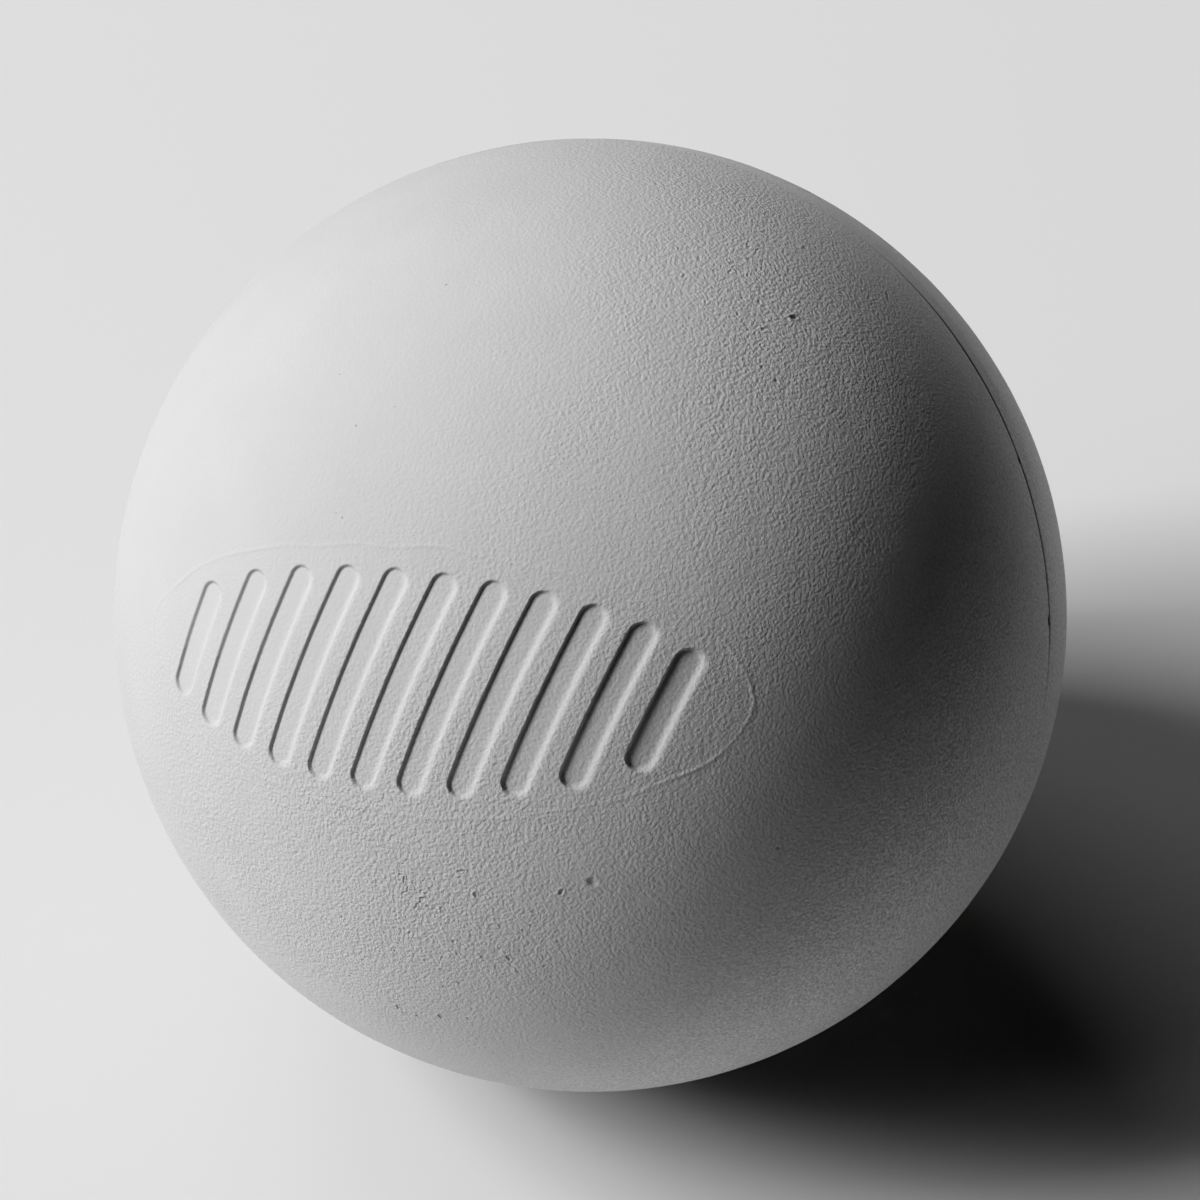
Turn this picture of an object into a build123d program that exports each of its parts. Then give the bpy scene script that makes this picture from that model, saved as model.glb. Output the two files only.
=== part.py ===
from build123d import *
from math import cos, radians, sin, sqrt
import os

# A lacrosse ball: solid rubber moulded in two halves, which meet face to face on the parting plane.
# The origin is the ball's centre, +Z is up, and the front half's mould axis points to -Y and upwards.

# Driving dimensions, in millimetres and degrees
ball_diameter = 64.0
axis_lean = 34.0
axis_roll = 13.0

# Parting line: a round on each half makes its crease, and the rear half has a band ground to a cylinder
front_rim_round = 0.2
rear_rim_round = 0.4
trim_width = 1.8

# Grip field: round-ended slanting grooves that fill an oval around the front half's pole
field_length = 38.0
field_height = 14.0
groove_width = 1.7
groove_pitch = 3.2
groove_slant = 22.0
groove_depth = 0.22
lip_round = 0.12

# Sizes that follow
ball_radius = ball_diameter / 2
trim_radius = sqrt(ball_radius**2 - trim_width**2)
floor_radius = ball_radius - groove_depth
cutter_top = ball_radius + groove_depth

# The parting plane faces the front half, and the section plane holds the mould axis as its own Y
mould_direction = Vector(0, -cos(radians(axis_lean)), sin(radians(axis_lean)))
mould_axis = Axis((0, 0, 0), mould_direction)
field_direction = Vector(1, 0, 0).rotate(mould_axis, axis_roll)
parting_plane = Plane((0, 0, 0), x_dir=field_direction, z_dir=mould_direction)
section_plane = Plane((0, 0, 0), x_dir=field_direction, z_dir=-parting_plane.y_dir)


def groove_at(offset):
    """The middle and the straight length of the groove that crosses the oval's long axis at offset."""
    half_length = (field_length - groove_width) / 2
    half_height = (field_height - groove_width) / 2
    along = sin(radians(groove_slant))
    across = cos(radians(groove_slant))
    # The groove's centre line meets the oval where square * t**2 + 2 * slope * t + rest = 0
    square = (along / half_length) ** 2 + (across / half_height) ** 2
    slope = offset * along / half_length**2
    rest = (offset / half_length) ** 2 - 1
    middle = -slope / square
    reach = sqrt(slope**2 - square * rest) / square
    return (offset + middle * along, middle * across), 2 * reach


# The grooves follow the ball at one depth, and their walls run along the mould axis
grooves_each_side = int((field_length / 2 - groove_width) // groove_pitch)
with BuildPart() as groove_cutter:
    with BuildSketch(parting_plane.offset(cutter_top)):
        for step in range(-grooves_each_side, grooves_each_side + 1):
            middle, length = groove_at(step * groove_pitch)
            with Locations(middle):
                SlotCenterToCenter(length, groove_width, rotation=90 - groove_slant)
    extrude(amount=-cutter_top)
    Sphere(floor_radius, mode=Mode.SUBTRACT)


def is_groove_lip(edge):
    """True for an edge that lies on the ball's surface, well away from the rim."""
    heights = [Vector(*corner).length - floor_radius for corner in edge.vertices()]
    return min(heights) > 0.9 * groove_depth and edge.center().dot(mould_direction) > ball_radius / 4


# Front half: a dome with a rounded rim, and the grip grooves with their rounded lips
with BuildPart() as front_half:
    with BuildSketch(section_plane):
        with BuildLine():
            CenterArc((0, 0), ball_radius, 0, 90)
            Polyline((0, ball_radius), (0, 0), (ball_radius, 0))
        make_face()
        fillet(vertices().sort_by(Axis.X)[-1], front_rim_round)
    revolve(axis=mould_axis)
    add(groove_cutter.part, mode=Mode.SUBTRACT)
    fillet(edges().filter_by(is_groove_lip), lip_round)

# Rear half: a dome with the ground band beside its rim
with BuildPart() as rear_half:
    with BuildSketch(section_plane):
        with BuildLine():
            RadiusArc((0, -ball_radius), (trim_radius, -trim_width), -ball_radius)
            Polyline((trim_radius, -trim_width), (trim_radius, 0), (0, 0), (0, -ball_radius))
        make_face()
        fillet(vertices().group_by(Axis.Y)[-1].sort_by(Axis.X)[-1], rear_rim_round)
    revolve(axis=mould_axis)

os.makedirs("parts", exist_ok=True)
front_half.part.label = "front_half"
export_step(front_half.part, "parts/front_half.step")
rear_half.part.label = "rear_half"
export_step(rear_half.part, "parts/rear_half.step")
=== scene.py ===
"""Looks of a lacrosse ball: two moulded rubber halves, and the small studio that shows them.

Lengths are in metres and angles in degrees, in the part's own frame: the origin is the ball's
centre and +Z is up. Each half is shaped in the mould's axes, u along the grip field, v across it
and w towards that half's pole, and is then turned into place.
"""

import logging
from dataclasses import dataclass
from enum import Enum
from math import cos, pi, radians, sin, sqrt, tan
from random import Random

import bmesh
import bpy
import numpy as np
from mathutils import Matrix, Quaternion, Vector, noise


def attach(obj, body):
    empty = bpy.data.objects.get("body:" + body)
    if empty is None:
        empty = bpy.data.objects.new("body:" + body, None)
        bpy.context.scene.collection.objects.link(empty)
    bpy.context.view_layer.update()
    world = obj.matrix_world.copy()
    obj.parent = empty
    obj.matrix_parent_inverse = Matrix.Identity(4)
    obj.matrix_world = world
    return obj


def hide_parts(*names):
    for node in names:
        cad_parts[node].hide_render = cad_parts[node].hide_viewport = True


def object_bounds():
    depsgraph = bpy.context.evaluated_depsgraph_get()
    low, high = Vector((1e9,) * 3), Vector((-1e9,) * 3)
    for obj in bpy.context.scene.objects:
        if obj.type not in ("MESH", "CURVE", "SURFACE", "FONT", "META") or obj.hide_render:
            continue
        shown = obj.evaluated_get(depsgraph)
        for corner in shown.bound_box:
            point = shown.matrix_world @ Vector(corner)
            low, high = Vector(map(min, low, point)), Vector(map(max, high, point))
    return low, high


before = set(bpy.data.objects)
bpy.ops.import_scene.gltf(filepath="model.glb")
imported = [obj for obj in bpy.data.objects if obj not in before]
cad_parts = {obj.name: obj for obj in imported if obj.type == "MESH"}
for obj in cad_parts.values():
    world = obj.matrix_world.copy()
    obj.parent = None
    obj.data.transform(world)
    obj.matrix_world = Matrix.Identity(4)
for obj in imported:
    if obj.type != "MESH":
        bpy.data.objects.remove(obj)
cad_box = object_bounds()

log = logging.getLogger("lacrosse_ball")

BODY = "root"
TINY = 1e-9  # A length that keeps a division from failing

Plane = tuple[float, float]
Range = tuple[float, float]
Colour = tuple[float, float, float, float]

BLACK: Colour = (0.0, 0.0, 0.0, 1.0)


class Half(Enum):
    """The two mouldings. A value is the CAD node that the moulding stands for."""

    FRONT = "front_half"
    REAR = "rear_half"


class Mark(Enum):
    """What the rubber's finish reads at each vertex. A value is the attribute's name."""

    GRAIN = "grain"
    SOIL = "soil"
    GRIME = "grime"
    OCHRE = "ochre"


def direction(azimuth: float, elevation: float) -> Vector:
    """Gives the way from the ball to a place in the studio.

    Args:
        azimuth: Turn about +Z, where 0 is on the -Y side and 90 on the +X side.
        elevation: Angle above the floor.

    Returns:
        A unit vector.
    """
    turn, rise = radians(azimuth), radians(elevation)
    return Vector((sin(turn) * cos(rise), -cos(turn) * cos(rise), sin(rise)))


def ramp(values: np.ndarray, start: float, end: float) -> np.ndarray:
    """Rises smoothly from 0 to 1.

    Args:
        values: Any numbers.
        start: Where the rise begins.
        end: Where it ends, which may be below start.

    Returns:
        One number from 0 to 1 for each value.
    """
    share = np.clip((values - start) / (end - start), 0.0, 1.0)
    return share * share * (3.0 - 2.0 * share)


@dataclass(frozen=True)
class Rumple:
    """Smooth noise with bumps of one size. The layer tells one noise from another."""

    size: float
    height: float
    layer: int
    layer_shift: float = 10.0

    def at(self, points: np.ndarray) -> np.ndarray:
        """Reads the noise.

        Args:
            points: Places, one a row.

        Returns:
            One number from about -height to height for each place.
        """
        places = points / self.size + self.layer_shift * self.layer
        return self.height * np.array([noise.noise(Vector(place)) for place in places])


class Value:
    """A number or colour that a node gives. Operators on numbers add Math nodes."""

    def __init__(self, graph: "Graph", socket: bpy.types.NodeSocket) -> None:
        """Keeps the socket and the graph that it is in."""
        self.graph = graph
        self.socket = socket

    def math(self, operation: str, first: "Value | float", second: "Value | float") -> "Value":
        """Adds one Math node.

        Args:
            operation: The node's operation.
            first: Its first number.
            second: Its second number.

        Returns:
            The node's result.
        """
        return self.graph.node("ShaderNodeMath", {"operation": operation}, {0: first, 1: second})

    def __add__(self, other: "Value | float") -> "Value":
        """Adds."""
        return self.math("ADD", self, other)

    __radd__ = __add__

    def __sub__(self, other: "Value | float") -> "Value":
        """Subtracts."""
        return self.math("SUBTRACT", self, other)

    def __rsub__(self, other: "Value | float") -> "Value":
        """Subtracts from a number."""
        return self.math("SUBTRACT", other, self)

    def __mul__(self, other: "Value | float") -> "Value":
        """Multiplies."""
        return self.math("MULTIPLY", self, other)

    __rmul__ = __mul__


class Graph:
    """A shader's nodes, added one at a time."""

    def __init__(self, tree: bpy.types.NodeTree) -> None:
        """Starts with no nodes."""
        tree.nodes.clear()
        self.tree = tree

    def node(
        self,
        kind: str,
        settings: dict[str, object] | None = None,
        sockets: dict[str | int, object] | None = None,
        output: str | int = 0,
    ) -> Value:
        """Adds a node.

        Args:
            kind: The node's type.
            settings: Its own settings, which are set first.
            sockets: The value or link of each socket that isn't left as it is.
            output: The socket that gives its result.

        Returns:
            The result.
        """
        made = self.tree.nodes.new(kind)
        for name, value in (settings or {}).items():
            setattr(made, name, value)
        for key, value in (sockets or {}).items():
            if isinstance(value, Value):
                self.tree.links.new(value.socket, made.inputs[key])
            else:
                made.inputs[key].default_value = value
        return Value(self, made.outputs[output])

    def finish(self, kind: str, surface: Value) -> None:
        """Adds the output node."""
        made = self.tree.nodes.new(kind)
        self.tree.links.new(surface.socket, made.inputs["Surface"])

    def noise(self, place: Value, size: float, detail: float, roughness: float) -> Value:
        """Adds a noise.

        Args:
            place: Where it is read.
            size: How wide a bump is.
            detail: How many finer layers it has.
            roughness: How strong each finer layer is beside the one before it.

        Returns:
            A number from about 0 to 1.
        """
        sockets = {"Vector": place, "Scale": 1.0 / size, "Detail": detail, "Roughness": roughness}
        return self.node("ShaderNodeTexNoise", None, sockets)

    def cells(self, place: Value, size: float, output: str) -> Value:
        """Adds a pattern of cells.

        Args:
            place: Where it is read.
            size: How wide a cell is.
            output: What is read of it.

        Returns:
            The distance to the cell's middle, in cell widths, or the cell's own colour.
        """
        sockets = {"Vector": place, "Scale": 1.0 / size}
        return self.node("ShaderNodeTexVoronoi", None, sockets, output)

    def light_path(self, output: str) -> Value:
        """Asks what kind of ray looks at the surface."""
        return self.node("ShaderNodeLightPath", output=output)

    def mix(self, share: Value, first: Value | Colour, second: Value | Colour) -> Value:
        """Mixes two colours.

        Args:
            share: How much of the second there is.
            first: The colour where share is 0.
            second: The colour where share is 1.

        Returns:
            The mixed colour.
        """
        # By number, because the node's sockets for numbers and vectors have the same names
        sockets = {0: share, 6: first, 7: second}
        return self.node("ShaderNodeMix", {"data_type": "RGBA"}, sockets, 2)

    def rise(self, value: Value, start: float, end: float) -> Value:
        """Adds a smooth rise.

        Args:
            value: Any number.
            start: Where the rise begins.
            end: Where it ends, which may be below start.

        Returns:
            A number from 0 to 1.
        """
        sockets = {"Value": value, "From Min": start, "From Max": end}
        return self.node("ShaderNodeMapRange", {"interpolation_type": "SMOOTHSTEP"}, sockets)


@dataclass(frozen=True)
class RubberFinish:
    """Pale matte rubber with a fine orange peel, a few flecks, and soft gloss seen at a slant."""

    colour: Colour = (0.595, 0.595, 0.602, 1.0)
    cloud_colour: Colour = (0.609, 0.609, 0.616, 1.0)
    # Dark flecks, grime, and painted shade in the open crease and on the steep groove walls
    grime_and_shade_colour: Colour = (0.09, 0.08, 0.07, 1.0)
    ochre_colour: Colour = (0.52, 0.36, 0.14, 1.0)
    # Painted shade in the peel's hollows and painted light on its tops, on the side away from the
    # lamps
    hollow_shade_colour: Colour = (0.30, 0.30, 0.30, 1.0)
    peak_light_colour: Colour = (0.87, 0.87, 0.87, 1.0)
    cloud_size: float = 0.006
    cloud_roughness: float = 0.5
    peel_size: float = 0.0002
    peel_roughness: float = 0.62
    detail: float = 3.0
    noise_middle: float = 0.5
    noise_edges: Range = (0.3, 0.7)
    pebble_size: float = 0.00027
    peel_share: float = 0.5
    pebble_share: float = 0.22
    peel_height: float = 0.00004
    fleck_spacing: float = 0.0016
    fleck_edges: Range = (0.04, 0.02)
    fleck_odds: Range = (0.8, 0.9)
    fleck_strength: float = 0.5
    roughness: float = 0.66
    roughness_wander: float = 0.16
    specular: float = 0.4
    chalkiness: float = 0.27
    coat_roughness: float = 0.5
    coat_ior: float = 1.9
    slant_blend: float = 0.5
    slant_edges: Range = (0.3, 0.85)

    def material(self) -> bpy.types.Material:
        """Makes the material once, and then gives the same one.

        Returns:
            The rubber's material.
        """
        name = "matte_rubber"
        if name in bpy.data.materials:
            return bpy.data.materials[name]
        made = bpy.data.materials.new(name)
        made.use_nodes = True
        graph = Graph(made.node_tree)
        place = graph.node("ShaderNodeTexCoord", output="Object")
        marks = {}
        for mark in Mark:
            settings = {"attribute_name": mark.value}
            marks[mark] = graph.node("ShaderNodeAttribute", settings, output="Fac")
        cloud = graph.noise(place, self.cloud_size, self.detail, self.cloud_roughness)
        peel = graph.noise(place, self.peel_size, self.detail, self.peel_roughness)
        sockets = {
            "Base Color": self.tone(graph, place, cloud, peel, marks),
            "Roughness": self.roughness + self.roughness_wander * (cloud - self.noise_middle),
            "Normal": self.relief(graph, place, peel, marks[Mark.GRAIN]),
            "Diffuse Roughness": self.chalkiness,
            "Specular IOR Level": self.specular,
            "Coat Weight": self.gloss(graph),
            "Coat Roughness": self.coat_roughness,
            "Coat IOR": self.coat_ior,
        }
        surface = graph.node("ShaderNodeBsdfPrincipled", None, sockets)
        graph.finish("ShaderNodeOutputMaterial", surface)
        return made

    def tone(
        self, graph: Graph, place: Value, cloud: Value, peel: Value, marks: dict[Mark, Value]
    ) -> Value:
        """Colours the rubber: faint clouds, flecks, ochre, grime, and painted shade and light.

        On the side away from the lamps, painted shade darkens the peel's hollows and painted light
        lifts its tops. Painted shade also darkens the open crease and the steep groove walls.

        Args:
            graph: The material's nodes.
            place: Object coordinates.
            cloud: The slow noise.
            peel: The orange peel's noise.
            marks: What the mesh says at each vertex.

        Returns:
            The base colour.
        """
        distance = graph.cells(place, self.fleck_spacing, "Distance")
        chance = graph.cells(place, self.fleck_spacing, "Color")
        drawn = graph.node("ShaderNodeSeparateColor", None, {0: chance})
        rare = graph.rise(drawn, *self.fleck_odds)
        fleck = graph.rise(distance, *self.fleck_edges) * rare * self.fleck_strength
        clouded = graph.rise(cloud, *self.noise_edges)
        plain_tone = graph.mix(clouded, self.colour, self.cloud_colour)
        # On the side away from the lamps: painted shade in the peel's hollows and painted light on
        # its tops
        raised = graph.rise(peel, *self.noise_edges)
        peel_shaded = graph.mix(raised, self.hollow_shade_colour, self.peak_light_colour)
        with_peel_shade = graph.mix(marks[Mark.SOIL], plain_tone, peel_shaded)
        flecked = graph.mix(fleck, with_peel_shade, self.grime_and_shade_colour)
        stained = graph.mix(marks[Mark.OCHRE], flecked, self.ochre_colour)
        # Grime, and painted shade in the open crease and on the steep groove walls
        return graph.mix(marks[Mark.GRIME], stained, self.grime_and_shade_colour)

    def relief(self, graph: Graph, place: Value, peel: Value, grain: Value) -> Value:
        """Raises the orange peel, which is finer than the mesh.

        Args:
            graph: The material's nodes.
            place: Object coordinates.
            peel: The orange peel's noise.
            grain: How strong the peel is here.

        Returns:
            The bumped normal.
        """
        hollow = graph.cells(place, self.pebble_size, "Distance")
        height = (self.peel_share * peel - self.pebble_share * hollow) * grain
        sockets = {"Height": height, "Distance": self.peel_height}
        return graph.node("ShaderNodeBump", None, sockets)

    def gloss(self, graph: Graph) -> Value:
        """Gives the coat's weight, which is soft gloss where the surface is seen at a slant."""
        facing = graph.node("ShaderNodeLayerWeight", None, {"Blend": self.slant_blend}, "Facing")
        return graph.rise(facing, *self.slant_edges)


@dataclass(frozen=True)
class FloorFinish:
    """A plain pale floor, which gives light back only from around the ball, and only once."""

    hue: Colour = (1.0, 0.992, 0.996, 1.0)
    shown: float = 0.8
    mirrored: float = 0.7
    given_back: float = 0.94
    pool_edges: Range = (0.13, 0.085)
    bounce_edges: Range = (2.0, 1.0)

    def material(self) -> bpy.types.Material:
        """Makes the floor's material.

        Returns:
            The material.
        """
        made = bpy.data.materials.new("pale_floor")
        made.use_nodes = True
        graph = Graph(made.node_tree)
        place = graph.node("ShaderNodeTexCoord", output="Object")
        far = graph.node("ShaderNodeVectorMath", {"operation": "LENGTH"}, {0: place}, "Value")
        pool = graph.rise(far, *self.pool_edges)
        once = graph.rise(graph.light_path("Diffuse Depth"), *self.bounce_edges)
        camera = graph.light_path("Is Camera Ray")
        glossy = graph.light_path("Is Glossy Ray")
        clear = graph.light_path("Is Transmission Ray")
        seen = camera * self.shown + (glossy + clear) * self.mirrored
        level = seen + (1.0 - camera - glossy - clear) * once * pool * self.given_back
        colour = graph.mix(level, BLACK, self.hue)
        surface = graph.node("ShaderNodeBsdfDiffuse", None, {"Color": colour})
        graph.finish("ShaderNodeOutputMaterial", surface)
        return made


@dataclass(frozen=True)
class Mould:
    """How the mould's axes lie in the part's frame."""

    lean: float = 34.0
    roll: float = 13.0

    def turn(self, half: Half) -> Matrix:
        """Gives the rotation that puts a half in its place.

        Args:
            half: The moulding, shaped with its pole on +w.

        Returns:
            A rotation from the half's own axes to the part's frame.
        """
        pole = Vector((0.0, -cos(radians(self.lean)), sin(radians(self.lean))))
        along = Quaternion(pole, radians(self.roll)) @ Vector((1.0, 0.0, 0.0))
        if half is Half.REAR:
            pole = -pole
        return Matrix((along, pole.cross(along), pole)).transposed().to_4x4()


@dataclass(frozen=True)
class GripField:
    """The oval patch of slanting round-ended grooves about the front half's pole.

    Places are in the plane across the pole, because the grooves' walls run along the mould axis.
    """

    length: float = 0.038
    height: float = 0.014
    groove_width: float = 0.0017
    groove_pitch: float = 0.0032
    groove_slant: float = 22.0
    groove_depth: float = 0.00022
    lip: float = 0.00006
    steep_run: float = 0.00012
    gentle_run: float = 0.00042
    # Painted shade, with a little grime, on the steep walls
    wall_shade_and_grime: float = 0.3
    witness_gap: float = 0.0013
    witness_reach: float = 0.0001
    witness_height: float = 0.000022
    witness_path: Rumple = Rumple(0.004, 0.0004, 1)
    witness_wear: Rumple = Rumple(0.003, 0.9, 6)

    def slope(self) -> np.ndarray:
        """The way that every groove runs, as a unit vector."""
        return np.array((sin(radians(self.groove_slant)), cos(radians(self.groove_slant))))

    def grooves(self) -> list[tuple[np.ndarray, float]]:
        """Lays the grooves out so that together they fill the oval.

        Returns:
            The middle of each groove, and half the distance between the centres of its round ends.
        """
        half = np.array((self.length - self.groove_width, self.height - self.groove_width)) / 2
        each_side = int((self.length / 2 - self.groove_width) // self.groove_pitch)
        square = float(((self.slope() / half) ** 2).sum())
        found = []
        for step in range(-each_side, each_side + 1):
            offset = step * self.groove_pitch
            lean = offset * self.slope()[0] / half[0] ** 2
            reach = sqrt(lean**2 - square * ((offset / half[0]) ** 2 - 1.0)) / square
            found.append((np.array((offset, 0.0)) - self.slope() * lean / square, reach))
        return found

    def walls(self, plan: np.ndarray) -> tuple[np.ndarray, np.ndarray]:
        """Measures to the edge of the nearest groove, which has a steep wall and a gentle one.

        Args:
            plan: Places in the plane across the pole, one a row.

        Returns:
            One distance for each place, below 0 inside a groove, and the run of the wall there.
        """
        nearest = np.full(len(plan), self.length)
        lean = np.zeros(len(plan))
        for middle, reach in self.grooves():
            along = np.clip((plan - middle) @ self.slope(), -reach, reach)
            across = plan - middle - along[:, None] * self.slope()
            apart = np.linalg.norm(across, axis=1) + TINY
            closer = apart - self.groove_width / 2 < nearest
            nearest[closer] = apart[closer] - self.groove_width / 2
            aside = across @ np.array((self.slope()[1], -self.slope()[0])) / apart
            lean[closer] = aside[closer]
        return nearest, self.steep_run + (self.gentle_run - self.steep_run) * ramp(lean, -1.0, 1.0)

    def witness_distance(self, plan: np.ndarray) -> np.ndarray:
        """Measures to the fine ridge that the edge of the mould's insert left around the oval.

        Args:
            plan: Places in the plane across the pole, one a row.

        Returns:
            One distance for each place, below 0 inside the ridge.
        """
        half = np.array((self.length, self.height)) / 2 + self.witness_gap
        scale = np.linalg.norm(plan / half, axis=1) + TINY
        steepness = np.linalg.norm(plan / half**2, axis=1) / scale + TINY
        lifted = np.column_stack((plan, np.zeros(len(plan))))
        return (scale - 1.0) / steepness + self.witness_path.at(lifted)


@dataclass(frozen=True)
class Flaw:
    """A pit, scratch, crater or speck of the rubber: a round or drawn-out spot.

    Places are in the plane across the half's pole. The shares are of the radius.
    """

    start: Plane
    radius: float
    depth: float = 0.0
    end: Plane | None = None
    rim: float = 0.0
    mark: Mark | None = None
    tint: float = 0.0
    floor_share: float = 0.25
    rim_share: float = 1.15
    rim_width: float = 0.3
    tint_share: float = 0.6

    def distance(self, points: np.ndarray, ball_radius: float) -> np.ndarray:
        """Measures to the flaw's middle line.

        Args:
            points: Places on the ball, one a row.
            ball_radius: The ball's radius.

        Returns:
            One distance for each place.
        """
        ends = []
        for across in (self.start, self.end or self.start):
            height = sqrt(max(ball_radius**2 - across[0] ** 2 - across[1] ** 2, 0.0))
            ends.append(np.array((*across, height)))
        run = ends[1] - ends[0]
        share = np.clip((points - ends[0]) @ run / max(float(run @ run), TINY**2), 0.0, 1.0)
        return np.linalg.norm(points - ends[0] - share[:, None] * run, axis=1)

    def lift(self, distance: np.ndarray) -> np.ndarray:
        """Gives how far the flaw raises the surface.

        Args:
            distance: Distances from the flaw's middle line.

        Returns:
            One height for each distance, below 0 in the pit.
        """
        pit = ramp(distance, self.radius, self.floor_share * self.radius)
        beside = (distance - self.rim_share * self.radius) / (self.rim_width * self.radius)
        return self.rim * np.exp(-(beside**2)) - self.depth * pit

    def stain(self, distance: np.ndarray) -> np.ndarray:
        """Gives how strong the flaw's mark is at each distance from its middle line."""
        return self.tint * ramp(distance, self.radius, self.tint_share * self.radius)


@dataclass(frozen=True)
class Cluster:
    """Small pits scattered about a place, as where the rubber did not quite fill the mould."""

    middle: Plane
    spread: float
    count: int
    radius: float
    depth: float
    seed: int
    stretch: float = 0.8
    sizes: Range = (0.6, 1.2)
    darkest: float = 0.12
    rim_share: float = 0.35

    def flaws(self) -> list[Flaw]:
        """Draws the pits.

        Returns:
            The pits, in the plane across the pole.
        """
        draw = Random(self.seed)
        reach = self.stretch
        pits = []
        for _ in range(self.count):
            start = tuple(place + draw.gauss(0.0, self.spread / 2) for place in self.middle)
            end = tuple(place + draw.uniform(-reach, reach) * self.radius for place in start)
            size = self.radius * draw.uniform(*self.sizes)
            tint = draw.uniform(0.0, self.darkest)
            rim = self.rim_share * self.depth
            pits.append(Flaw(start, size, self.depth, end, rim, Mark.GRIME, tint))
        return pits


@dataclass(frozen=True)
class Crack:
    """Short strokes chained into a jagged crack, which sets off at a heading from u towards v."""

    start: Plane
    heading: float
    count: int
    step: float
    seed: int
    lengths: Range = (0.6, 1.3)
    widths: Range = (0.2, 0.32)
    turns: Range = (25.0, 80.0)
    darkest: float = 0.2
    depth_share: float = 0.5
    rim_share: float = 0.2

    def flaws(self) -> list[Flaw]:
        """Draws the strokes.

        Returns:
            The strokes, in the plane across the pole.
        """
        draw = Random(self.seed)
        start, heading = self.start, self.heading
        strokes = []
        for _ in range(self.count):
            reach, turn = self.step * draw.uniform(*self.lengths), radians(heading)
            end = (start[0] + reach * cos(turn), start[1] + reach * sin(turn))
            size = self.step * draw.uniform(*self.widths)
            tint = draw.uniform(0.0, self.darkest)
            depth, rim = self.depth_share * size, self.rim_share * size
            strokes.append(Flaw(start, size, depth, end, rim, Mark.GRIME, tint))
            start = end
            heading += draw.choice((-1.0, 1.0)) * draw.uniform(*self.turns)
        return strokes


@dataclass(frozen=True)
class Nicks:
    """Small nicks along a rim, at angles about the pole."""

    angles: tuple[float, ...]
    seed: int
    rim_radius: float = 0.032
    sizes: Range = (0.0003, 0.0005)
    depth: float = 0.00015
    tint: float = 0.3

    def flaws(self) -> list[Flaw]:
        """Draws the nicks.

        Returns:
            The nicks, in the plane across the pole.
        """
        draw = Random(self.seed)
        found = []
        for angle in self.angles:
            turn = radians(angle)
            place = (self.rim_radius * cos(turn), self.rim_radius * sin(turn))
            size = draw.uniform(*self.sizes)
            found.append(Flaw(place, size, self.depth, mark=Mark.GRIME, tint=self.tint))
        return found


@dataclass(frozen=True)
class Crease:
    """Where the parting line stands open, with painted shade in the crease.

    Angles are about the front half's pole, from u towards v.
    """

    open_start: float = 58.0
    open_full: float = 40.0
    close_start: float = 5.0
    close_full: float = -6.0
    closed: float = 0.15
    closed_round: float = 0.5
    painted_shade: float = 0.9
    painted_shade_edge: float = 0.7

    def openness(self, angles: np.ndarray) -> np.ndarray:
        """Says how far the crease is open.

        Args:
            angles: Places along the rim.

        Returns:
            One number from closed to 1 for each angle.
        """
        opened = ramp(angles, self.open_start, self.open_full)
        span = opened * ramp(angles, self.close_full, self.close_start)
        return self.closed + (1.0 - self.closed) * span


@dataclass(frozen=True)
class Region:
    """A round part of the ball's surface with a soft edge."""

    azimuth: float
    elevation: float
    inner: float
    outer: float

    def share(self, ways: np.ndarray) -> np.ndarray:
        """Says how far places lie within the region.

        Args:
            ways: Unit vectors from the ball's centre in the part's frame, one a row.

        Returns:
            One number for each vector, from 0 outside to 1 within.
        """
        facing = ways @ np.array(direction(self.azimuth, self.elevation))
        return ramp(facing, cos(radians(self.outer)), cos(radians(self.inner)))


@dataclass(frozen=True)
class Wear:
    """How handling smoothed the rubber where it was rubbed, and where shade and light are painted
    into its peel.

    With each rubbed region comes the share of its grain that is left.
    """

    grain: float = 5.6
    patchiness: Rumple = Rumple(0.005, 0.35, 5)
    rubbed: tuple[tuple[Region, float], ...] = (
        (Region(-66.0, 50.0, 16.0, 62.0), 0.2),
        (Region(48.0, 37.0, 21.0, 37.0), 0.55),
    )
    # The side away from the lamps, where shade and light are painted into the peel
    peel_shaded: Region = Region(118.0, -38.0, 55.0, 100.0)
    smooth_groove: float = 0.35
    smooth_band: float = 0.7
    smooth_seam: float = 0.5

    def peel(self, ways: np.ndarray) -> np.ndarray:
        """Says how strong the orange peel is.

        Args:
            ways: Unit vectors from the ball's centre in the part's frame, one a row.

        Returns:
            One strength for each vector.
        """
        strength = np.full(len(ways), self.grain)
        for region, left in self.rubbed:
            strength *= 1.0 - (1.0 - left) * region.share(ways)
        return strength


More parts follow.
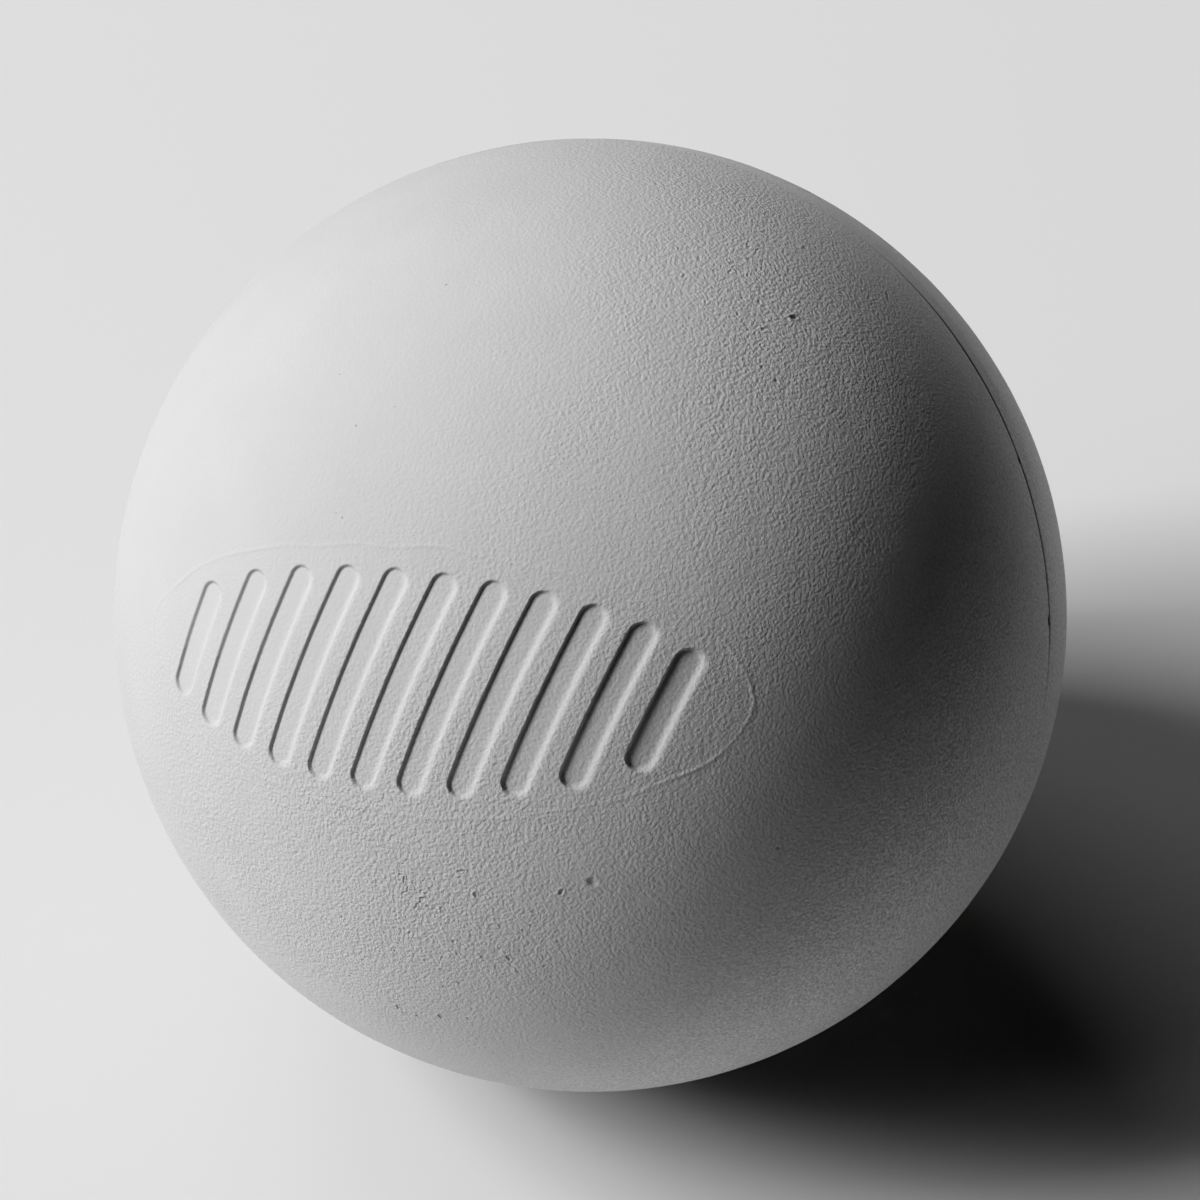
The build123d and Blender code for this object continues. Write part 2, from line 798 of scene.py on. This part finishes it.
@dataclass
class BallHalf:
    """One moulded half of the ball, from its dome to its flat parting face."""

    half: Half
    radius: float
    rim_round: float
    trim_width: float
    flaws: list[Flaw]
    field: GripField | None = None
    mould: Mould = Mould()
    crease: Crease = Crease()
    wear: Wear = Wear()
    sway: Rumple = Rumple(0.02, 0.00004, 2)
    swell: Rumple = Rumple(0.002, 0.000012, 3)
    ripple: Rumple = Rumple(0.0008, 0.000006, 4)
    grinding: Rumple = Rumple(0.004, 0.00002, 7)
    rim_wear: Rumple = Rumple(0.0025, 0.25, 8)
    band_start: float = 0.007
    band_end: float = 0.0015
    grid: int = 112
    cut_tolerance: float = 1e-7
    rim_rows: int = 6
    rim_steps: float = 2.5
    rising_share: float = 0.4
    wall_share: float = 0.65
    flaw_share: float = 0.6
    flaw_margin: float = 1.3
    witness_step: float = 0.00013
    witness_margin: float = 1.5
    grading: float = 0.85
    passes: int = 3

    def project(self, bm: bmesh.types.BMesh) -> None:
        """Puts every vertex of a mesh on the ball."""
        for vert in bm.verts:
            vert.co = vert.co.normalized() * self.radius

    def dome(self) -> bmesh.types.BMesh:
        """Makes an open dome of even squares, with finer rows beside its rim.

        Returns:
            A mesh in the half's own axes, every vertex on the ball.
        """
        bm = bmesh.new()
        bmesh.ops.create_cube(bm, size=2.0)
        bmesh.ops.subdivide_edges(bm, edges=bm.edges[:], cuts=self.grid - 1, use_grid_fill=True)
        for vert in bm.verts:
            vert.co = Vector(tan(side * pi / 4) for side in vert.co).normalized() * self.radius
        bmesh.ops.bisect_plane(
            bm,
            geom=bm.verts[:] + bm.edges[:] + bm.faces[:],
            dist=self.cut_tolerance,
            plane_co=(0.0, 0.0, 0.0),
            plane_no=(0.0, 0.0, 1.0),
            clear_inner=True,
        )
        step = self.radius * pi / 2 / self.grid
        rising = []
        for edge in bm.edges:
            low, high = sorted(vert.co.z for vert in edge.verts)
            if high < self.rim_steps * step and high - low > self.rising_share * step:
                rising.append(edge)
        bmesh.ops.subdivide_edges(bm, edges=rising, cuts=self.rim_rows - 1)
        bmesh.ops.triangulate(bm, faces=bm.faces[:])
        self.project(bm)
        return bm

    def spacing(self, points: np.ndarray) -> np.ndarray:
        """Says how short the edges have to be for the forms that they carry.

        Args:
            points: Places on the ball, one a row.

        Returns:
            The longest edge that each place allows.
        """
        forms = []
        if self.field:
            edge, run = self.field.walls(points[:, :2])
            wall = np.maximum(edge - self.field.lip, self.field.lip - run - edge)
            ridge = np.abs(self.field.witness_distance(points[:, :2]))
            beyond = ridge - self.witness_margin * self.field.witness_reach
            forms += [(wall, self.wall_share * run), (beyond, self.witness_step)]
        for flaw in self.flaws:
            beyond = flaw.distance(points, self.radius) - self.flaw_margin * flaw.radius
            forms.append((beyond, self.flaw_share * flaw.radius))
        wanted = np.full(len(points), self.radius)
        for beyond, step in forms:
            wanted = np.minimum(wanted, step + self.grading * np.maximum(beyond, 0.0))
        return wanted

    def refine(self, bm: bmesh.types.BMesh) -> None:
        """Splits edges until each is as short as its place wants, with every triangle well shaped.

        Args:
            bm: The dome, which is changed.
        """
        for _ in range(self.passes):
            bm.edges.index_update()
            ends = np.array([[vert.co[:] for vert in edge.verts] for edge in bm.edges])
            lengths = np.linalg.norm(ends[:, 1] - ends[:, 0], axis=1)
            split = lengths > self.spacing(ends.mean(axis=1))
            if not split.any():
                break
            sides = np.array([[edge.index for edge in face.edges] for face in bm.faces])
            # A triangle that would lose two sides loses all three, and becomes four like itself
            while (pairs := split[sides].sum(axis=1) == 2).any():
                split[sides[pairs].ravel()] = True
            chosen = [edge for edge, cut in zip(bm.edges, split) if cut]
            bmesh.ops.subdivide_edges(bm, edges=chosen, cuts=1, use_grid_fill=True)
            bmesh.ops.triangulate(bm, faces=[face for face in bm.faces if len(face.verts) > 3])
            self.project(bm)

    def shape(self, bm: bmesh.types.BMesh) -> dict[Mark, np.ndarray]:
        """Moves the dome's vertices to the moulded surface.

        Args:
            bm: The refined dome, which is changed.

        Returns:
            For each mark, one number for each vertex.
        """
        points = np.array([vert.co[:] for vert in bm.verts])
        marks = {mark: np.zeros(len(points)) for mark in Mark}
        lift = self.sway.at(points)
        lift += self.swell.at(points) + self.ripple.at(points)
        ways = points @ np.array(self.mould.turn(self.half).to_3x3()).T / self.radius
        grain = self.wear.peel(ways) * (1.0 + self.wear.patchiness.at(points))
        # Where shade and light are painted into the peel
        marks[Mark.SOIL] = self.wear.peel_shaded.share(ways)
        if self.field:
            inside = self.shape_field(points, lift, marks)
            grain *= 1.0 - self.wear.smooth_groove * inside
        for flaw in self.flaws:
            distance = flaw.distance(points, self.radius)
            lift += flaw.lift(distance)
            if flaw.mark:
                marks[flaw.mark] = np.maximum(marks[flaw.mark], flaw.stain(distance))
        moved = points * (1.0 + lift / self.radius)[:, None]
        seam = self.shape_rim(points, moved)
        # The crease's painted shade goes into the mark for grime and painted shade
        marks[Mark.GRIME] = np.maximum(marks[Mark.GRIME], seam)
        if self.trim_width > 0.0:
            band = ramp(points[:, 2], self.band_start, self.band_end)
            grain *= 1.0 - self.wear.smooth_band * band
        marks[Mark.GRAIN] = grain * (1.0 - self.wear.smooth_seam * seam)
        for vert, place in zip(bm.verts, moved):
            vert.co = place
        return marks

    def shape_field(
        self, points: np.ndarray, lift: np.ndarray, marks: dict[Mark, np.ndarray]
    ) -> np.ndarray:
        """Sinks the grooves, raises the ridge around them, and paints shade with a little grime on
        the steep walls.

        Args:
            points: The vertices on the ball.
            lift: How far each vertex is raised, which is changed.
            marks: What the finish reads at each vertex, which is changed.

        Returns:
            How far each vertex lies within a groove, from 0 to 1.
        """
        field = self.field
        edge, run = field.walls(points[:, :2])
        inside = ramp((edge - field.lip) / run, 0.0, -1.0)
        witness = field.witness_distance(points[:, :2]) / field.witness_reach
        height = field.witness_height * (1.0 + field.witness_wear.at(points))
        lift += height * np.exp(-(witness**2)) - field.groove_depth * inside
        steepness = ramp(run, field.gentle_run, field.steep_run)
        # Painted shade with a little grime on the steep walls, which face away from the light. The
        # last three factors make a hump, which is 1 half way down the wall
        marks[Mark.GRIME] = field.wall_shade_and_grime * steepness * 4.0 * inside * (1.0 - inside)
        return inside

    def shape_rim(self, points: np.ndarray, moved: np.ndarray) -> np.ndarray:
        """Rounds the rim over, and grinds the trimmed band beside it.

        Args:
            points: The vertices on the ball.
            moved: The same vertices on the moulded surface, which are changed.

        Returns:
            How much painted shade darkens the parting line at each vertex, from 0 to 1.
        """
        crease = self.crease
        rise = points[:, 2]
        side = 1.0 if self.half is Half.FRONT else -1.0
        openness = crease.openness(np.degrees(np.arctan2(side * points[:, 1], points[:, 0])))
        out = np.linalg.norm(moved[:, :2], axis=1) + TINY
        target = out.copy()
        if self.trim_width > 0.0:
            ground = sqrt(self.radius**2 - self.trim_width**2) + self.grinding.at(points)
            target = np.where(rise < self.trim_width, np.minimum(out, ground), out)
        round_share = crease.closed_round + (1.0 - crease.closed_round) * openness
        round_off = self.rim_round * round_share * (1.0 + self.rim_wear.at(points))
        angle = np.clip(rise / round_off, 0.0, 1.0) * pi / 2
        in_round = rise < round_off
        target -= np.where(in_round, round_off * (1.0 - np.sin(angle)), 0.0)
        moved[:, :2] *= (target / out)[:, None]
        moved[:, 2] = np.where(in_round, round_off * (1.0 - np.cos(angle)), moved[:, 2])
        # Painted shade in the open crease
        return crease.painted_shade * openness * ramp(rise, round_off, crease.painted_shade_edge * round_off)

    def build(self) -> bpy.types.Object:
        """Makes the half as one closed mesh in its place.

        Returns:
            A new object at the origin.
        """
        bm = self.dome()
        self.refine(bm)
        marks = self.shape(bm)
        rim = [edge for edge in bm.edges if edge.is_boundary]
        bmesh.ops.edgeloop_fill(bm, edges=rim)
        # Only the flat parting face has more than three corners
        for face in bm.faces:
            face.smooth = len(face.verts) == 3
        for edge in rim:
            edge.smooth = False
        bmesh.ops.recalc_face_normals(bm, faces=bm.faces[:])
        bm.transform(self.mould.turn(self.half))
        mesh = bpy.data.meshes.new(f"{self.half.value}_rubber")
        bm.to_mesh(mesh)
        bm.free()
        for mark, values in marks.items():
            layer = mesh.attributes.new(mark.value, "FLOAT", "POINT")
            layer.data.foreach_set("value", values.astype(np.float32))
        piece = bpy.data.objects.new(mesh.name, mesh)
        bpy.context.scene.collection.objects.link(piece)
        return piece

    def dress(self, piece: bpy.types.Object, finish: RubberFinish) -> None:
        """Gives the half its finish, and puts it in the CAD node's stead.

        Args:
            piece: The half's object.
            finish: The rubber's looks.
        """
        piece.data.materials.append(finish.material())
        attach(piece, BODY)
        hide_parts(self.half.value)


@dataclass(frozen=True)
class Lamp:
    """A soft box that faces the ball. The rubber's gloss shows it only where sheen is set."""

    name: str
    azimuth: float
    elevation: float
    width: float
    height: float
    power: float
    distance: float = 4.0
    sheen: bool = False

    def hang(self) -> bpy.types.Object:
        """Adds the lamp to the scene.

        Returns:
            The lamp's object.
        """
        data = bpy.data.lights.new(self.name, "AREA")
        data.shape = "RECTANGLE"
        data.size = self.width
        data.size_y = self.height
        data.energy = self.power
        lamp = bpy.data.objects.new(self.name, data)
        away = direction(self.azimuth, self.elevation)
        lamp.location = away * self.distance
        lamp.rotation_euler = away.to_track_quat("Z", "Y").to_euler()
        lamp.visible_camera = False
        lamp.visible_glossy = self.sheen
        bpy.context.scene.collection.objects.link(lamp)
        return lamp


@dataclass
class Studio:
    """The floor, the lamps, the backdrop and the camera."""

    floor_height: float
    camera_azimuth: float = 26.0
    camera_elevation: float = 45.0
    camera_distance: float = 0.288
    lens: float = 127.9
    sensor: float = 36.0
    shift_right: float = 0.0081
    shift_up: float = 0.0125
    clip_start: float = 0.01
    floor_reach: float = 6.0
    backdrop: float = 0.72
    backdrop_top: float = 0.35
    lamps: tuple[Lamp, ...] = (
        Lamp("key_left", -71.0, 42.5, 0.92, 1.6, 84.0),
        Lamp("key_right", -55.5, 33.0, 0.96, 1.65, 132.0),
        Lamp("front_fill", -41.0, 30.0, 0.92, 0.92, 9.0),
        Lamp("back_fill", -116.0, 47.0, 2.4, 1.6, 18.0, sheen=True),
    )

    def lay_floor(self, finish: FloorFinish) -> bpy.types.Object:
        """Lays the floor under the ball.

        Args:
            finish: The floor's looks.

        Returns:
            The floor's object.
        """
        bm = bmesh.new()
        lie = Matrix.Translation((0.0, 0.0, self.floor_height))
        bmesh.ops.create_grid(bm, x_segments=1, y_segments=1, size=self.floor_reach, matrix=lie)
        mesh = bpy.data.meshes.new("floor")
        bm.to_mesh(mesh)
        bm.free()
        floor = bpy.data.objects.new("floor", mesh)
        mesh.materials.append(finish.material())
        bpy.context.scene.collection.objects.link(floor)
        return floor

    def hang_backdrop(self) -> None:
        """Makes the space beyond the floor pale, to the camera and low down in reflections."""
        world = bpy.data.worlds.new("backdrop")
        world.use_nodes = True
        graph = Graph(world.node_tree)
        way = graph.node("ShaderNodeTexCoord", output="Generated")
        height = graph.node("ShaderNodeSeparateXYZ", None, {0: way}, "Z")
        low_down = graph.rise(height, self.backdrop_top, 0.0)
        seen = graph.light_path("Is Camera Ray") + graph.light_path("Is Glossy Ray") * low_down
        pale = (self.backdrop, self.backdrop, self.backdrop, 1.0)
        shade = graph.node("ShaderNodeBackground", None, {"Color": pale, "Strength": seen})
        graph.finish("ShaderNodeOutputWorld", shade)
        bpy.context.scene.world = world

    def place_camera(self) -> bpy.types.Object:
        """Puts the camera where the picture was taken from.

        Returns:
            The camera's object.
        """
        data = bpy.data.cameras.new("camera")
        data.sensor_width = self.sensor
        data.lens = self.lens
        data.shift_x = self.shift_right
        data.shift_y = self.shift_up
        data.clip_start = self.clip_start
        camera = bpy.data.objects.new("camera", data)
        away = direction(self.camera_azimuth, self.camera_elevation)
        camera.location = away * self.camera_distance
        camera.rotation_euler = away.to_track_quat("Z", "Y").to_euler()
        bpy.context.scene.collection.objects.link(camera)
        bpy.context.scene.camera = camera
        return camera

    def build(self) -> None:
        """Sets the whole studio up."""
        self.lay_floor(FloorFinish())
        self.hang_backdrop()
        for lamp in self.lamps:
            lamp.hang()
            log.info("lamp %s", lamp.name)
        self.place_camera()
        bpy.context.scene.view_settings.view_transform = "Standard"


def front_flaws() -> list[Flaw]:
    """Lists the front half's pits, cracks, scratches and specks, and the nicks along its rim.

    Returns:
        The flaws, in the plane across the front pole.
    """
    grime, ochre = Mark.GRIME, Mark.OCHRE
    found = [
        Flaw((0.0113, -0.0118), 0.00036, 0.00008, (0.01135, -0.0119), 0.00003, grime, 0.12),
        Flaw((0.0094, -0.0127), 0.00016, 0.00008, (0.0095, -0.0125), 0.00003, grime, 0.15),
        Flaw((0.0033, -0.0117), 0.00012, 0.00006, (0.0037, -0.0116), 0.00002, grime, 0.15),
        Flaw((0.0042, -0.0133), 0.00014, 0.00006, (0.0042, -0.0131), 0.00002, grime, 0.25),
        Flaw((0.0054, -0.0175), 0.00014, 0.00006, (0.0055, -0.0177), 0.00002, grime, 0.1),
        Flaw((-0.0007, -0.0229), 0.00015, 0.00006, (-0.0006, -0.0231), 0.00002, grime, 0.1),
        Flaw((0.0181, 0.0223), 0.00018, 0.00012, (0.01825, 0.0223), 0.00005, grime, 0.5),
        Flaw((0.0162, 0.0232), 0.00015, 0.00005, mark=grime, tint=0.2),
        Flaw((0.0153, 0.0234), 0.00013, 0.00005, mark=grime, tint=0.2),
        Flaw((0.0186, 0.0187), 0.00014, 0.00006, mark=grime, tint=0.4),
        Flaw((0.0177, 0.0195), 0.00013, 0.00005, mark=grime, tint=0.2),
        Flaw((0.0213, -0.0096), 0.00015, 0.00006, mark=grime, tint=0.2),
        Flaw((0.0213, 0.0234), 0.00014, 0.00006, (0.0216, 0.0230), mark=grime, tint=0.3),
        Flaw((0.0240, 0.0100), 0.00008, 0.000025, (0.0256, 0.0081)),
        Flaw((0.0246, 0.0101), 0.00006, 0.00002, (0.0259, 0.0088)),
        Flaw((0.0174, -0.0089), 0.00008, 0.00002, (0.0206, -0.0070)),
        Flaw((0.0102, -0.0184), 0.00007, mark=grime, tint=0.9),
        Flaw((-0.0018, -0.0157), 0.00006, mark=grime, tint=0.8),
        Flaw((0.0107, 0.0262), 0.0001, 0.00003, mark=grime, tint=0.9),
        Flaw((-0.0052, 0.0150), 0.00006, mark=grime, tint=0.7),
        Flaw((-0.0021, 0.0235), 0.00007, mark=grime, tint=0.8),
        Flaw((0.0279, 0.0080), 0.00008, mark=grime, tint=0.9),
        Flaw((-0.0054, 0.0098), 0.00008, mark=ochre, tint=0.8),
        Flaw((-0.0049, 0.0096), 0.00009, mark=ochre, tint=0.8),
        Flaw((-0.0041, -0.0057), 0.00008, mark=ochre, tint=0.7),
    ]
    groups = (
        Crack((-0.0006, -0.0136), 20.0, 6, 0.00032, 11),
        Crack((0.0001, -0.0146), 75.0, 5, 0.0003, 12),
        Cluster((0.0006, -0.0138), 0.0010, 8, 0.00011, 0.00005, 1),
        Cluster((-0.0033, -0.0229), 0.0008, 5, 0.00012, 0.00005, 2),
        Cluster((0.0142, 0.0260), 0.0026, 22, 0.00013, 0.00003, 3),
        Cluster((0.0168, 0.0222), 0.0016, 5, 0.00014, 0.00004, 6),
        Cluster((0.0060, -0.0165), 0.0050, 16, 0.00013, 0.00004, 7),
        Cluster((-0.0010, -0.0190), 0.0050, 16, 0.00013, 0.00004, 8),
        Nicks((23.6, 4.6, -41.0, 118.0), 1),
    )
    return found + [flaw for group in groups for flaw in group.flaws()]


def rear_flaws() -> list[Flaw]:
    """Lists the rear half's pits and the nicks along its rim.

    Returns:
        The flaws, in the plane across the rear pole.
    """
    found = [Flaw((0.0128, -0.0290), 0.0004, 0.00008, (0.0135, -0.0287))]
    groups = (
        Cluster((-0.0080, 0.0120), 0.0025, 8, 0.00011, 0.00005, 6),
        Cluster((0.0100, -0.0060), 0.0020, 6, 0.0001, 0.00005, 7),
        Cluster((-0.0010, -0.0170), 0.0030, 6, 0.00012, 0.00004, 8),
        Nicks((-23.6, -4.6, 41.0, -118.0), 2),
    )
    return found + [flaw for group in groups for flaw in group.flaws()]


def main() -> None:
    """Builds both halves and the studio, and reports each piece."""
    logging.basicConfig(level=logging.INFO, format="%(name)s: %(message)s")
    radius = (cad_box[1].z - cad_box[0].z) / 2
    rubber = RubberFinish()
    front = BallHalf(
        Half.FRONT, radius, rim_round=0.0002, trim_width=0.0, flaws=front_flaws(), field=GripField()
    )
    rear = BallHalf(Half.REAR, radius, rim_round=0.0004, trim_width=0.0018, flaws=rear_flaws())
    for half in (front, rear):
        piece = half.build()
        half.dress(piece, rubber)
        log.info("%s: %d faces", piece.name, len(piece.data.polygons))
    Studio(floor_height=cad_box[0].z).build()


if __name__ == "__main__":
    main()
